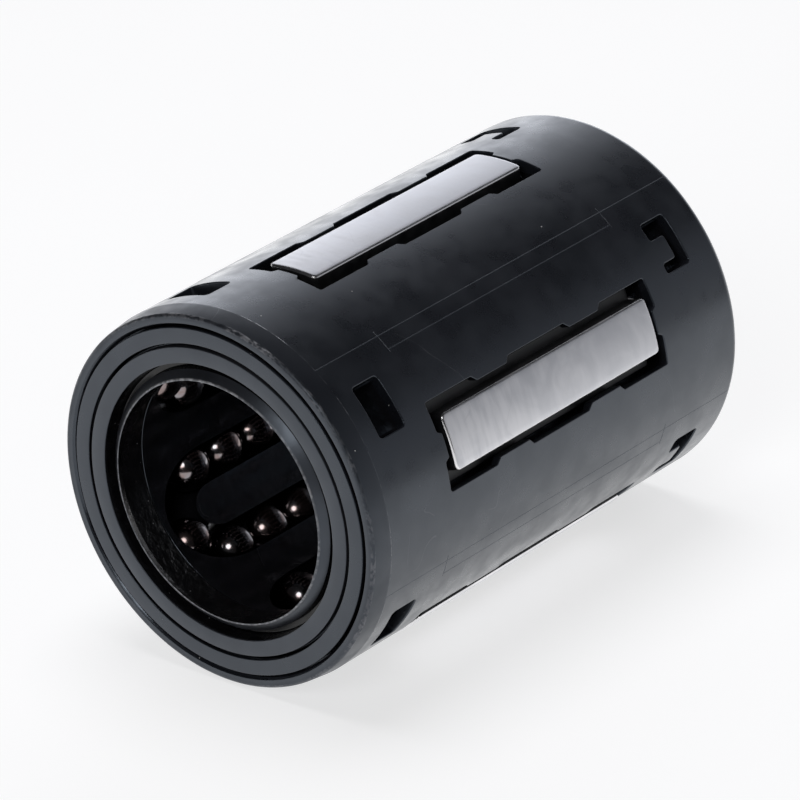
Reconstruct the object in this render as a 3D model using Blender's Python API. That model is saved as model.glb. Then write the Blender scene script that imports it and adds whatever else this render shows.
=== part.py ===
"""Compact linear ball bearing for a 12 mm shaft, as an assembly of separate pieces.

The shaft runs along X. The origin is the bearing's centre and plate 1 is at the top (+Z).
A plastic cage carries five steel plates in windows, five ball circuits and a seal at each end.
"""
import math

import bmesh
import bpy
from mathutils import Matrix, Vector

MM = 0.001
MERGE = 1e-7

# What the bearing is made for: the shaft, the length and the number of ball circuits
SHAFT_RADIUS = 6.0 * MM
LENGTH = 28.0 * MM
CIRCUITS = 5

# Balls, and the closed track that each circuit runs in
BALL_RADIUS = 1.19 * MM
BALL_GAP = 0.02 * MM
ROW_RUN_OUT = 0.6 * MM
TRACK_CLEARANCE = 0.14 * MM
TURN_LIFT = 0.03 * MM
TURN_SLACK = 0.05 * MM
TRACK_HEADROOM = 0.4 * MM
TRACK_END_WALL = 0.324 * MM
NECK_RADIUS = 0.35 * MM

# Plates: hardened steel, held in the windows by a flange along each side
PLATE_WIDTH = 2.82 * MM
PLATE_OVER_BALL = 1.12 * MM
PLATE_UNDERSIDE_RISE = 0.81 * MM
PLATE_END_STEP = 0.51 * MM
PLATE_PROUD = 0.08 * MM
PLATE_CORNER = 0.3 * MM
PLATE_EDGE = 0.15 * MM
FLANGE_THICKNESS = 0.45 * MM
FLANGE_GRIP = 0.12 * MM
RACEWAY_CLEARANCE = 0.14 * MM

# Windows: notched openings, undercut where the plate's flange lies
WINDOW_END_GAP = 0.52 * MM
WINDOW_SIDE_GAP = 0.47 * MM
WINDOW_FLOOR_GAP = 0.2 * MM
FLANGE_SIDE_GAP = 0.17 * MM
FLANGE_HEADROOM = 0.3 * MM
UNDERCUT_MARGIN = 0.05 * MM
NARROW_START = 2.1 * MM
NARROW_LENGTH = 2.8 * MM
NARROW_SLOPE = 0.3 * MM
END_TAB_WIDTH = 1.5 * MM
END_TAB_LENGTH = 0.3 * MM

# Cage: the plastic body, with rings and a groove in each end face
BORE_GAP = 0.3 * MM
END_FILLET = 0.5 * MM
FACE_RIM_WIDTH = 0.59 * MM
FACE_GROOVE_WIDTH = 0.27 * MM
FACE_GROOVE_DEPTH = 1.0 * MM
FACE_RING_WIDTH = 0.7 * MM

# Seals, let into a recess in each end face
SEAL_THICKNESS = 1.58 * MM
SEAL_END_GAP = 0.12 * MM
SEAL_FACE_GAP = 0.16 * MM
SEAL_RIM_GAP = 0.07 * MM
SEAL_RIM_DEPTH = 0.35 * MM
SEAL_FLAT_WIDTH = 0.81 * MM
SEAL_GROOVE_DEPTH = 0.9 * MM
SEAL_GROOVE_FLOOR = 0.25 * MM
SEAL_LIP_GAP = 0.03 * MM
SEAL_LIP_WIDTH = 0.15 * MM
SEAL_LIP_DEPTH = 0.45 * MM
SEAL_THROAT_GAP = 0.25 * MM

# Pockets beside each window, near both ends
POCKET_FROM_END = 2.21 * MM
POCKET_LENGTH = 1.75 * MM
POCKET_WIDTH = 2.65 * MM
POCKET_DEPTH = 1.3 * MM
POCKET_OFFSET = 3.1 * MM
LUG_LENGTH = 1.0 * MM
LUG_WIDTH = 1.75 * MM
LUG_TOP_DEPTH = 0.5 * MM
CUT_MARGIN = 1.0 * MM

# Facets
CAGE_STEPS = 50
SEAL_STEPS = 30
FILLET_STEPS = 2
TURN_STEPS = 9
TRACK_FLOOR_STEPS = 6
TRACK_ROOF_STEPS = 4
RACEWAY_STEPS = 4
CROWN_STEPS = 4
CORNER_STEPS = 2
BEAD_STEPS = 6
BEAD_RINGS = 5
NECK_SIDES = 4
NECK_STEPS = 5
BALL_STEPS = 2
EDGE_SHARP_ANGLE = math.radians(25)
BEAD_SHARP_ANGLE = math.radians(60)

# Worked out from the sizes above, from the shaft outwards
HALF_LENGTH = LENGTH / 2
CIRCUIT_ANGLE = 2 * math.pi / CIRCUITS
RETURN_ANGLE = CIRCUIT_ANGLE / 2
BALL_PITCH = 2 * BALL_RADIUS + BALL_GAP
LOADED_RADIUS = SHAFT_RADIUS + BALL_RADIUS
TURN_HEIGHT = LOADED_RADIUS + TURN_LIFT
TURN_RADIUS = TURN_HEIGHT * math.tan(RETURN_ANGLE / 2)
RETURN_RADIUS = LOADED_RADIUS + 2 * TURN_LIFT
TRACK_HALF_WIDTH = BALL_RADIUS + TRACK_CLEARANCE
TRACK_ROOF_CENTRE = TURN_HEIGHT + TRACK_HEADROOM
HOUSING_RADIUS = LOADED_RADIUS + BALL_RADIUS + PLATE_OVER_BALL
CAGE_RADIUS = HOUSING_RADIUS - PLATE_PROUD
CAGE_BORE_RADIUS = SHAFT_RADIUS + BORE_GAP
FACE_GROOVE_OUTER = CAGE_RADIUS - FACE_RIM_WIDTH
FACE_GROOVE_INNER = FACE_GROOVE_OUTER - FACE_GROOVE_WIDTH
SEAL_RECESS_RADIUS = FACE_GROOVE_INNER - FACE_RING_WIDTH
SEAL_RECESS_DEPTH = SEAL_THICKNESS + SEAL_END_GAP
SEAL_FACE_RADIUS = SEAL_RECESS_RADIUS - SEAL_FACE_GAP
SEAL_RIM_RADIUS = SEAL_RECESS_RADIUS - SEAL_RIM_GAP
SEAL_LIP_RADIUS = SHAFT_RADIUS + SEAL_LIP_GAP
SEAL_THROAT_RADIUS = SHAFT_RADIUS + SEAL_THROAT_GAP

# Worked out from the sizes above, along the bearing
TRACK_END_DEPTH = SEAL_RECESS_DEPTH + TRACK_END_WALL + TRACK_HALF_WIDTH
TRACK_HALF_LENGTH = HALF_LENGTH - TRACK_END_DEPTH - TURN_RADIUS
ROW_BALL_COUNT = int(2 * (TRACK_HALF_LENGTH - ROW_RUN_OUT) / BALL_PITCH)
TURN_BALL_REACH = (ROW_BALL_COUNT + 1) / 2 * BALL_PITCH + TURN_SLACK - TRACK_HALF_LENGTH
TURN_END_ANGLE = math.acos(TURN_BALL_REACH / TURN_RADIUS)
TURN_STEP_ANGLE = 2 * math.asin((BALL_PITCH + TURN_SLACK) / 2 / TURN_RADIUS)
TURN_BALL_ANGLES = (-TURN_END_ANGLE, TURN_STEP_ANGLE - TURN_END_ANGLE, TURN_END_ANGLE)
PLATE_HALF_LENGTH = TRACK_HALF_LENGTH - PLATE_END_STEP
PLATE_UNDERSIDE = LOADED_RADIUS + PLATE_UNDERSIDE_RISE
FLANGE_TOP = PLATE_UNDERSIDE + FLANGE_THICKNESS
WINDOW_HALF_LENGTH = PLATE_HALF_LENGTH + WINDOW_END_GAP
WINDOW_NARROW_WIDTH = PLATE_WIDTH + 2 * WINDOW_SIDE_GAP
FLANGE_WIDTH = WINDOW_NARROW_WIDTH + 2 * FLANGE_GRIP
WINDOW_WIDTH = FLANGE_WIDTH + 2 * FLANGE_SIDE_GAP
WINDOW_FLOOR = PLATE_UNDERSIDE - WINDOW_FLOOR_GAP
UNDERCUT_TOP = FLANGE_TOP + FLANGE_HEADROOM
POCKET_ANGLE = POCKET_OFFSET / CAGE_RADIUS
CUT_TOP = HOUSING_RADIUS + CUT_MARGIN


def clear_scene():
    for item in list(bpy.data.objects):
        bpy.data.objects.remove(item, do_unlink=True)


def make_material(name, colour, roughness, metallic):
    material = bpy.data.materials.new(name)
    material.use_nodes = True
    shader = material.node_tree.nodes["Principled BSDF"]
    shader.inputs["Base Color"].default_value = (*colour, 1.0)
    shader.inputs["Roughness"].default_value = roughness
    shader.inputs["Metallic"].default_value = metallic
    return material


def circuit_turn(index):
    """Rotation that takes the shapes of the circuit at the top to another circuit's place."""
    return Matrix.Rotation(index * CIRCUIT_ANGLE, 4, "X")


def on_track(x, radius, angle):
    """A point at a radius and at an angle from the plate towards its return row."""
    return Vector((x, -radius * math.sin(angle), radius * math.cos(angle)))


def arc_points(centre_x, centre_y, radius, start, end, steps):
    points = []
    for step in range(steps + 1):
        angle = start + (end - start) * step / steps
        points.append((centre_x + radius * math.cos(angle), centre_y + radius * math.sin(angle)))
    return points


def spin_profile(points, steps, closed):
    """Turn a profile of (x, radius) points about the X axis."""
    shape = bmesh.new()
    corners = [shape.verts.new((x, 0.0, radius)) for x, radius in points]
    edges = [shape.edges.new(pair) for pair in zip(corners, corners[1:])]
    if closed:
        edges.append(shape.edges.new((corners[-1], corners[0])))
    bmesh.ops.spin(
        shape, geom=corners + edges, cent=(0, 0, 0), axis=(1, 0, 0), angle=2 * math.pi, steps=steps
    )
    bmesh.ops.remove_doubles(shape, verts=shape.verts, dist=MERGE)
    bmesh.ops.recalc_face_normals(shape, faces=shape.faces)
    return shape


def loft(sections, closed):
    """Skin a list of equal loops of points, with flat ends or as a closed ring."""
    shape = bmesh.new()
    loops = [[shape.verts.new(point) for point in section] for section in sections]
    pairs = list(zip(loops, loops[1:]))
    if closed:
        pairs.append((loops[-1], loops[0]))
    for near, far in pairs:
        for here in range(len(near)):
            after = (here + 1) % len(near)
            shape.faces.new((near[here], near[after], far[after], far[here]))
    if not closed:
        shape.faces.new(loops[0])
        shape.faces.new(loops[-1])
    bmesh.ops.recalc_face_normals(shape, faces=shape.faces)
    return shape


def prism(outline, low, high):
    """A flat outline of (x, y) points, raised from one height to another."""
    levels = [[Vector((x, y, height)) for x, y in outline] for height in (low, high)]
    return loft(levels, closed=False)


def rectangle(x_low, x_high, y_low, y_high):
    return [(x_low, y_low), (x_high, y_low), (x_high, y_high), (x_low, y_high)]


def mesh_from(name, shape):
    mesh = bpy.data.meshes.new(name)
    shape.to_mesh(mesh)
    shape.free()
    return mesh


def add_object(name, mesh, material=None, parent=None, place=None):
    item = bpy.data.objects.new(name, mesh)
    bpy.context.scene.collection.objects.link(item)
    if material is not None and not mesh.materials:
        mesh.materials.append(material)
    item.parent = parent
    item.matrix_local = place if place is not None else Matrix.Identity(4)
    return item


def shade(mesh, sharp_from):
    mesh.shade_smooth()
    mesh.set_sharp_from_angle(angle=sharp_from)


def add_cutter(name, shapes):
    """Join separate closed shapes into one hidden cutter."""
    joined = bmesh.new()
    for shape in shapes:
        bmesh.ops.triangulate(shape, faces=shape.faces)
        joined.from_mesh(mesh_from(name + "_piece", shape))
    cutter = add_object(name, mesh_from(name, joined))
    cutter.hide_render = True
    cutter.display_type = "WIRE"
    return cutter


def cut(item, cutter):
    modifier = item.modifiers.new(cutter.name, "BOOLEAN")
    modifier.operation = "DIFFERENCE"
    modifier.solver = "EXACT"
    modifier.object = cutter


def cage_end_profile():
    """The turned outline of the cage at its +X end, from the outside in to the bore."""
    face = HALF_LENGTH
    groove_floor = face - FACE_GROOVE_DEPTH
    recess_floor = face - SEAL_RECESS_DEPTH
    points = arc_points(
        face - END_FILLET, CAGE_RADIUS - END_FILLET, END_FILLET, math.pi / 2, 0.0, FILLET_STEPS
    )
    points += [(face, FACE_GROOVE_OUTER), (groove_floor, FACE_GROOVE_OUTER)]
    points += [(groove_floor, FACE_GROOVE_INNER), (face, FACE_GROOVE_INNER)]
    points += [(face, SEAL_RECESS_RADIUS), (recess_floor, SEAL_RECESS_RADIUS)]
    points += [(recess_floor, CAGE_BORE_RADIUS)]
    return points


def window_outline():
    """The notched opening for a plate, with a tab at the middle of each end."""
    wide = WINDOW_WIDTH / 2
    narrow = WINDOW_NARROW_WIDTH / 2
    end = WINDOW_HALF_LENGTH
    side = [
        (NARROW_START, wide),
        (NARROW_START + NARROW_SLOPE, narrow),
        (NARROW_START + NARROW_LENGTH - NARROW_SLOPE, narrow),
        (NARROW_START + NARROW_LENGTH, wide),
        (end, wide),
    ]
    tab = [(end, END_TAB_WIDTH / 2), (end - END_TAB_LENGTH, END_TAB_WIDTH / 2 - END_TAB_LENGTH / 2)]
    quarter = side + tab
    first = quarter + [(x, -y) for x, y in reversed(quarter)]
    return first + [(-x, -y) for x, y in first]


def track_section(x, angle, heading):
    """The ball track's cross-section, square to the direction that the balls move in."""
    outward = on_track(0.0, 1.0, angle)
    sideways = outward.cross(heading).normalized()
    points = arc_points(0.0, LOADED_RADIUS, TRACK_HALF_WIDTH, -math.pi, 0.0, TRACK_FLOOR_STEPS)
    points += arc_points(0.0, TRACK_ROOF_CENTRE, TRACK_HALF_WIDTH, 0.0, math.pi, TRACK_ROOF_STEPS)
    axis_point = Vector((x, 0.0, 0.0))
    return [axis_point + outward * height + sideways * offset for offset, height in points]


def track_shape():
    """The closed track of one circuit: a loaded run, a turn, a return run and a turn."""
    sections = []
    for end in (1, -1):
        for step in range(TURN_STEPS + 1):
            swing = end * math.pi * (step / TURN_STEPS - 0.5)
            across = math.atan(TURN_RADIUS * math.sin(swing) / TURN_HEIGHT)
            angle = RETURN_ANGLE / 2 + across
            x = end * (TRACK_HALF_LENGTH + TURN_RADIUS * math.cos(swing))
            round_track = on_track(0.0, 1.0, angle + math.pi / 2)
            heading = Vector((-math.sin(swing), 0.0, 0.0)) + end * math.cos(swing) * round_track
            sections.append(track_section(x, angle, heading))
    return loft(sections, closed=True)


def pocket_outline(end, shelf):
    """The pocket's outline near one end, measured from its own middle line."""
    inner = HALF_LENGTH - POCKET_FROM_END - POCKET_LENGTH
    outer = inner + POCKET_LENGTH
    half = POCKET_WIDTH / 2
    if not shelf:
        return rectangle(*sorted((end * inner, end * outer)), -half, half)
    lug_end = end * (inner + LUG_LENGTH)
    lug_side = half - LUG_WIDTH
    return [
        (end * inner, half),
        (end * inner, lug_side),
        (lug_end, lug_side),
        (lug_end, -half),
        (end * outer, -half),
        (end * outer, half),
    ]


def pocket_shapes(index):
    """The front and rear pockets beside one window; a rear one has a lug standing in it."""
    turn = circuit_turn(index) @ Matrix.Rotation(-POCKET_ANGLE, 4, "X")
    floor = CAGE_RADIUS - POCKET_DEPTH
    front = prism(pocket_outline(-1, shelf=False), floor, CUT_TOP)
    rear = prism(pocket_outline(1, shelf=False), CAGE_RADIUS - LUG_TOP_DEPTH, CUT_TOP)
    rear_deep = prism(pocket_outline(1, shelf=True), floor, CUT_TOP)
    for shape in (front, rear, rear_deep):
        shape.transform(turn)
    return front, rear, rear_deep


def make_cage(material):
    end_profile = cage_end_profile()
    profile = end_profile + [(-x, radius) for x, radius in reversed(end_profile)]
    mesh = mesh_from("cage_body", spin_profile(profile, CAGE_STEPS, closed=True))
    shade(mesh, EDGE_SHARP_ANGLE)
    cage = add_object("cage_body", mesh, material)

    undercut_end = WINDOW_HALF_LENGTH + UNDERCUT_MARGIN
    undercut_side = WINDOW_WIDTH / 2 + UNDERCUT_MARGIN
    undercut_outline = rectangle(-undercut_end, undercut_end, -undercut_side, undercut_side)
    shapes = {"undercuts": [], "windows": [], "tracks": [], "pockets": [], "pocket_shelves": []}
    for index in range(CIRCUITS):
        undercut = prism(undercut_outline, WINDOW_FLOOR, UNDERCUT_TOP)
        window = prism(window_outline(), FLANGE_TOP, CUT_TOP)
        track = track_shape()
        for shape in (undercut, window, track):
            shape.transform(circuit_turn(index))
        front, rear, rear_deep = pocket_shapes(index)
        shapes["undercuts"].append(undercut)
        shapes["windows"].append(window)
        shapes["tracks"].append(track)
        shapes["pockets"] += [front, rear_deep]
        shapes["pocket_shelves"].append(rear)
    for name, pieces in shapes.items():
        cut(cage, add_cutter(name, pieces))
    return cage


def seal_profile():
    """A seal's turned outline, as (depth below the end face, radius)."""
    flat_inner = SEAL_FACE_RADIUS - SEAL_FLAT_WIDTH
    lip_outer = SEAL_LIP_RADIUS + SEAL_LIP_WIDTH
    groove_middle = (flat_inner + lip_outer) / 2
    return [
        (0.0, SEAL_FACE_RADIUS),
        (0.0, flat_inner),
        (SEAL_GROOVE_DEPTH, groove_middle + SEAL_GROOVE_FLOOR / 2),
        (SEAL_GROOVE_DEPTH, groove_middle - SEAL_GROOVE_FLOOR / 2),
        (0.0, lip_outer),
        (0.0, SEAL_LIP_RADIUS),
        (SEAL_LIP_DEPTH, SEAL_THROAT_RADIUS),
        (SEAL_THICKNESS, SEAL_THROAT_RADIUS),
        (SEAL_THICKNESS, SEAL_RIM_RADIUS),
        (SEAL_RIM_DEPTH, SEAL_RIM_RADIUS),
        (SEAL_RIM_DEPTH, SEAL_FACE_RADIUS),
    ]


def make_seal(name, end, material):
    points = [(end * (HALF_LENGTH - depth), radius) for depth, radius in seal_profile()]
    mesh = mesh_from(name, spin_profile(points, SEAL_STEPS, closed=True))
    shade(mesh, EDGE_SHARP_ANGLE)
    return add_object(name, mesh, material)


def plate_section(x, half_width):
    """A plate's cross-section, in the frame of its own origin on the underside."""
    groove_radius = BALL_RADIUS + RACEWAY_CLEARANCE
    groove_reach = math.acos((PLATE_UNDERSIDE - LOADED_RADIUS) / groove_radius)
    groove = arc_points(
        0.0, LOADED_RADIUS, groove_radius,
        math.pi / 2 + groove_reach, math.pi / 2 - groove_reach, RACEWAY_STEPS,
    )
    crown_reach = math.asin((half_width - PLATE_EDGE) / HOUSING_RADIUS)
    crown = arc_points(
        0.0, 0.0, HOUSING_RADIUS,
        math.pi / 2 - crown_reach, math.pi / 2 + crown_reach, CROWN_STEPS,
    )
    shoulder = crown[0][1] - PLATE_EDGE
    flange = FLANGE_WIDTH / 2
    right = [(flange, PLATE_UNDERSIDE), (flange, FLANGE_TOP)]
    right += [(half_width, FLANGE_TOP), (half_width, shoulder)]
    left = [(-across, height) for across, height in reversed(right)]
    outline = groove + right + crown + left
    return [Vector((x, across, height - PLATE_UNDERSIDE)) for across, height in outline]


def plate_mesh():
    """A plate whose block has rounded corners in plan, made as sections along X."""
    stations = []
    for step in range(CORNER_STEPS + 1):
        angle = math.pi / 2 * step / CORNER_STEPS
        x = PLATE_HALF_LENGTH - PLATE_CORNER * (1 - math.sin(angle))
        half_width = PLATE_WIDTH / 2 - PLATE_CORNER * (1 - math.cos(angle))
        stations.append((x, half_width))
    sections = [plate_section(x, half_width) for x, half_width in stations]
    mirrored = [plate_section(-x, half_width) for x, half_width in reversed(stations)]
    mesh = mesh_from("bearing_plate", loft(mirrored + sections, closed=False))
    shade(mesh, EDGE_SHARP_ANGLE)
    return mesh


def make_plates(material):
    mesh = plate_mesh()
    for index in range(CIRCUITS):
        place = circuit_turn(index) @ Matrix.Translation((0.0, 0.0, PLATE_UNDERSIDE))
        add_object(f"bearing_plate_{index + 1}", mesh, material, place=place)


def ball_mesh():
    shape = bmesh.new()
    bmesh.ops.create_icosphere(shape, subdivisions=BALL_STEPS, radius=BALL_RADIUS)
    mesh = mesh_from("ball", shape)
    mesh.shade_smooth()
    return mesh


def bead_mesh(name, count):
    """Balls in a straight row along X, strung together by thin necks."""
    first = math.asin(NECK_RADIUS / BALL_RADIUS)
    ends = (count - 1) / 2 * BALL_PITCH + BALL_RADIUS
    points = [(-ends, 0.0)]
    for ball in range(count):
        centre = (ball - (count - 1) / 2) * BALL_PITCH
        points += arc_points(centre, 0.0, BALL_RADIUS, math.pi - first, first, BEAD_RINGS - 1)
    points.append((ends, 0.0))
    mesh = mesh_from(name, spin_profile(points, BEAD_STEPS, closed=False))
    shade(mesh, BEAD_SHARP_ANGLE)
    return mesh


def round_turn(angle, sideways=0.0, lift=0.0):
    """A point on a front turn, at an angle from the turn's outermost point to the return row.

    It is measured from the turn's own centre. All of the turn is equally far from the shaft's axis,
    apart from the lift.
    """
    reach = TURN_RADIUS + sideways
    across = math.atan(reach * math.sin(angle) / TURN_HEIGHT)
    radius = TURN_HEIGHT + lift
    height = radius * math.cos(across) - TURN_HEIGHT
    return Vector((-reach * math.cos(angle), -radius * math.sin(across), height))


def turn_neck_shape():
    """The thin neck that follows a turn from its first ball to its last."""
    sections = []
    for step in range(NECK_STEPS + 1):
        angle = TURN_END_ANGLE * (2 * step / NECK_STEPS - 1)
        section = []
        for side in range(NECK_SIDES):
            around = 2 * math.pi * side / NECK_SIDES
            sideways = NECK_RADIUS * math.cos(around)
            section.append(round_turn(angle, sideways, NECK_RADIUS * math.sin(around)))
        sections.append(section)
    return loft(sections, closed=False)


def turn_mesh():
    """The balls of a front turn, fused with the neck that strings them together."""
    string = add_object("turn_string", mesh_from("turn_string", turn_neck_shape()))
    beads = []
    for number, angle in enumerate(TURN_BALL_ANGLES, start=1):
        place = Matrix.Translation(round_turn(angle))
        bead = add_object(f"turn_bead_{number}", bead_mesh("turn_bead", 1), place=place)
        modifier = string.modifiers.new(bead.name, "BOOLEAN")
        modifier.operation = "UNION"
        modifier.solver = "EXACT"
        modifier.object = bead
        beads.append(bead)
    bpy.context.view_layer.update()
    graph = bpy.context.evaluated_depsgraph_get()
    mesh = bpy.data.meshes.new_from_object(string.evaluated_get(graph))
    for item in (string, *beads):
        bpy.data.objects.remove(item, do_unlink=True)
    shade(mesh, BEAD_SHARP_ANGLE)
    return mesh


def make_circuits(material):
    """Each circuit's loaded balls, return row and turns, on the axes that they move about."""
    ball = ball_mesh()
    row = bead_mesh("return_row", ROW_BALL_COUNT)
    turn_string = turn_mesh()
    half_turn = Matrix.Rotation(math.pi, 4, "Z")
    for index in range(CIRCUITS):
        number = index + 1
        turn = circuit_turn(index)
        row_axis = turn @ Matrix.Translation((0.0, 0.0, LOADED_RADIUS))
        carrier = add_object(f"loaded_row_{number}", None, place=row_axis)
        for step in range(ROW_BALL_COUNT):
            along = (step - (ROW_BALL_COUNT - 1) / 2) * BALL_PITCH
            offset = Matrix.Translation((along, 0.0, 0.0))
            add_object(f"loaded_ball_{number}_{step + 1}", ball, material, carrier, offset)
        to_return = turn @ Matrix.Rotation(RETURN_ANGLE, 4, "X")
        row_place = to_return @ Matrix.Translation((0.0, 0.0, RETURN_RADIUS))
        add_object(f"return_balls_{number}", row, material, place=row_place)
        to_middle = turn @ Matrix.Rotation(RETURN_ANGLE / 2, 4, "X")
        for name, end, facing in (("front", -1, Matrix()), ("rear", 1, half_turn)):
            centre = to_middle @ Matrix.Translation((end * TRACK_HALF_LENGTH, 0.0, TURN_HEIGHT))
            pivot = add_object(f"{name}_turn_{number}", None, place=centre)
            add_object(f"{name}_turn_balls_{number}", turn_string, material, pivot, facing)


def main():
    clear_scene()
    cage_plastic = make_material("cage_plastic", (0.016, 0.017, 0.019), 0.42, 0.0)
    seal_rubber = make_material("seal_rubber", (0.013, 0.013, 0.014), 0.35, 0.0)
    plate_steel = make_material("plate_steel", (0.60, 0.61, 0.63), 0.28, 1.0)
    ball_steel = make_material("ball_steel", (0.55, 0.55, 0.56), 0.08, 1.0)
    make_cage(cage_plastic)
    make_seal("front_seal", -1, seal_rubber)
    make_seal("rear_seal", 1, seal_rubber)
    make_plates(plate_steel)
    make_circuits(ball_steel)


main()
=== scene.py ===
"""Looks of the linear ball bearing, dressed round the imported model, in metres.

The shaft runs along X, the front end face looks towards -X and plate 1 is at the top (+Z).
Circuit k is circuit 1 turned about X by k - 1 fifths of a full turn.
"""
import math

import bmesh
import bpy
from mathutils import Matrix, Vector


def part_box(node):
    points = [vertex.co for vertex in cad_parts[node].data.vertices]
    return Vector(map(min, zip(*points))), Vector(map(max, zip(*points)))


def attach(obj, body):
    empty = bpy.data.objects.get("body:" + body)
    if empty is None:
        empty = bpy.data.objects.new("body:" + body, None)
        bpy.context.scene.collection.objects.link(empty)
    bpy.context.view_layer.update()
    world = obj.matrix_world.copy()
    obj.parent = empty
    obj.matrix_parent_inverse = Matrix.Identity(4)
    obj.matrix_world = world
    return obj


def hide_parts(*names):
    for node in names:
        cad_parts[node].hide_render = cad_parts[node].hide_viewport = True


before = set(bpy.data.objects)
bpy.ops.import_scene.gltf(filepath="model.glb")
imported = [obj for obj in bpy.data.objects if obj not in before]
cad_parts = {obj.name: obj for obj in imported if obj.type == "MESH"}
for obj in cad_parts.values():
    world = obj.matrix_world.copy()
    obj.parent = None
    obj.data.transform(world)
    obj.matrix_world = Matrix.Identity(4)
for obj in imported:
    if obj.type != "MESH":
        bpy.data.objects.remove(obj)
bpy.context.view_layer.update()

MM = 0.001

# Read from the frame
CAGE_LOW, CAGE_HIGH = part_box("cage_body")
SEAL_LOW, SEAL_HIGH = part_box("front_seal")
PLATE_LOW, PLATE_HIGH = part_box("bearing_plate_1")
BALL_LOW, BALL_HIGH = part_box("loaded_ball_1_1")
SECOND_BALL_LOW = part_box("loaded_ball_1_2")[0]
RETURN_LOW, RETURN_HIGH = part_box("return_balls_1")
FLOOR_HEIGHT = CAGE_LOW.z
HALF_LENGTH = CAGE_HIGH.x
CAGE_RADIUS = -CAGE_LOW.z
HOUSING_RADIUS = PLATE_HIGH.z
PLATE_HALF_LENGTH = PLATE_HIGH.x
PLATE_UNDERSIDE = PLATE_LOW.z
FLANGE_WIDTH = PLATE_HIGH.y - PLATE_LOW.y
SEAL_THICKNESS = SEAL_HIGH.x - SEAL_LOW.x
SEAL_RIM_RADIUS = SEAL_HIGH.z
BALL_RADIUS = (BALL_HIGH.z - BALL_LOW.z) / 2
BALL_PITCH = SECOND_BALL_LOW.x - BALL_LOW.x
LOADED_RADIUS = (BALL_HIGH.z + BALL_LOW.z) / 2
SHAFT_RADIUS = LOADED_RADIUS - BALL_RADIUS

# Circuits
CIRCUITS = 5
CIRCUIT_ANGLE = 2 * math.pi / CIRCUITS
RETURN_ANGLE = CIRCUIT_ANGLE / 2
ROW_BALLS = 1 + round((RETURN_HIGH.x - RETURN_LOW.x - 2 * BALL_RADIUS) / BALL_PITCH)
TURN_LIFT = 0.03 * MM
TURN_HEIGHT = LOADED_RADIUS + TURN_LIFT
TURN_RADIUS = TURN_HEIGHT * math.tan(RETURN_ANGLE / 2)
RETURN_RADIUS = LOADED_RADIUS + 2 * TURN_LIFT

# Ball tracks in the cage
TRACK_CLEARANCE = 0.14 * MM
TRACK_HEADROOM = 0.4 * MM
PLATE_END_STEP = 0.51 * MM
TRACK_HALF_WIDTH = BALL_RADIUS + TRACK_CLEARANCE
TRACK_ROOF_CENTRE = TURN_HEIGHT + TRACK_HEADROOM
TRACK_HALF_LENGTH = PLATE_HALF_LENGTH + PLATE_END_STEP
TURN_SLACK = 0.05 * MM
TURN_BALL_REACH = (ROW_BALLS + 1) / 2 * BALL_PITCH + TURN_SLACK - TRACK_HALF_LENGTH
TURN_END_ANGLE = math.acos(TURN_BALL_REACH / TURN_RADIUS)
TURN_STEP_ANGLE = 2 * math.asin((BALL_PITCH + TURN_SLACK) / 2 / TURN_RADIUS)
TURN_BALL_ANGLES = (-TURN_END_ANGLE, TURN_STEP_ANGLE - TURN_END_ANGLE, TURN_END_ANGLE)

# Plates
PLATE_WIDTH = 2.82 * MM
PLATE_CORNER = 0.3 * MM
PLATE_EDGE = 0.15 * MM
FLANGE_THICKNESS = 0.45 * MM
FLANGE_EDGE = 0.06 * MM
RACEWAY_CLEARANCE = 0.14 * MM
FLANGE_TOP = PLATE_UNDERSIDE + FLANGE_THICKNESS

# Windows
WINDOW_END_GAP = 0.52 * MM
WINDOW_SIDE_GAP = 0.47 * MM
WINDOW_FLOOR_GAP = 0.2 * MM
FLANGE_SIDE_GAP = 0.17 * MM
FLANGE_HEADROOM = 0.3 * MM
UNDERCUT_MARGIN = 0.05 * MM
NARROW_START = 2.1 * MM
NARROW_LENGTH = 2.8 * MM
NARROW_SLOPE = 0.3 * MM
END_TAB_WIDTH = 1.5 * MM
END_TAB_LENGTH = 0.3 * MM
WINDOW_CORNER = 0.12 * MM
WINDOW_HALF_LENGTH = PLATE_HALF_LENGTH + WINDOW_END_GAP
WINDOW_NARROW_WIDTH = PLATE_WIDTH + 2 * WINDOW_SIDE_GAP
WINDOW_WIDTH = FLANGE_WIDTH + 2 * FLANGE_SIDE_GAP

# Pockets beside each window
POCKET_FROM_END = 2.21 * MM
POCKET_LENGTH = 1.75 * MM
POCKET_WIDTH = 2.65 * MM
POCKET_DEPTH = 1.3 * MM
POCKET_ANGLE = 3.1 * MM / CAGE_RADIUS
POCKET_CORNER = 0.2 * MM
LUG_LENGTH = 1.0 * MM
LUG_WIDTH = 1.25 * MM
LUG_FROM_SIDE = 0.5 * MM
LUG_CORNER = 0.15 * MM

# Cage ends, from the outside in to the bore
END_TAPER_LENGTH = 1.15 * MM
END_TAPER_DROP = 0.14 * MM
TAPER_START = HALF_LENGTH - END_TAPER_LENGTH
END_FILLET = 0.18 * MM
REAR_FILLET = 0.45 * MM
END_CORNER_SUM = HALF_LENGTH + CAGE_RADIUS - END_TAPER_DROP - END_FILLET * (2 - math.sqrt(2))
FACE_GROOVE_OUTER = CAGE_RADIUS - 0.55 * MM
FACE_GROOVE_SLOPE = 0.16 * MM
FACE_GROOVE_SLOPE_DEPTH = 0.22 * MM
FACE_GROOVE_SLIT = 0.06 * MM
FACE_GROOVE_DEPTH = 1.0 * MM
FACE_GROOVE_INNER = FACE_GROOVE_OUTER - FACE_GROOVE_SLOPE - FACE_GROOVE_SLIT
SEAL_RECESS_RADIUS = SEAL_RIM_RADIUS + 0.07 * MM
SEAL_SHOWN_DEPTH = SEAL_THICKNESS + 0.3 * MM
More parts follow.
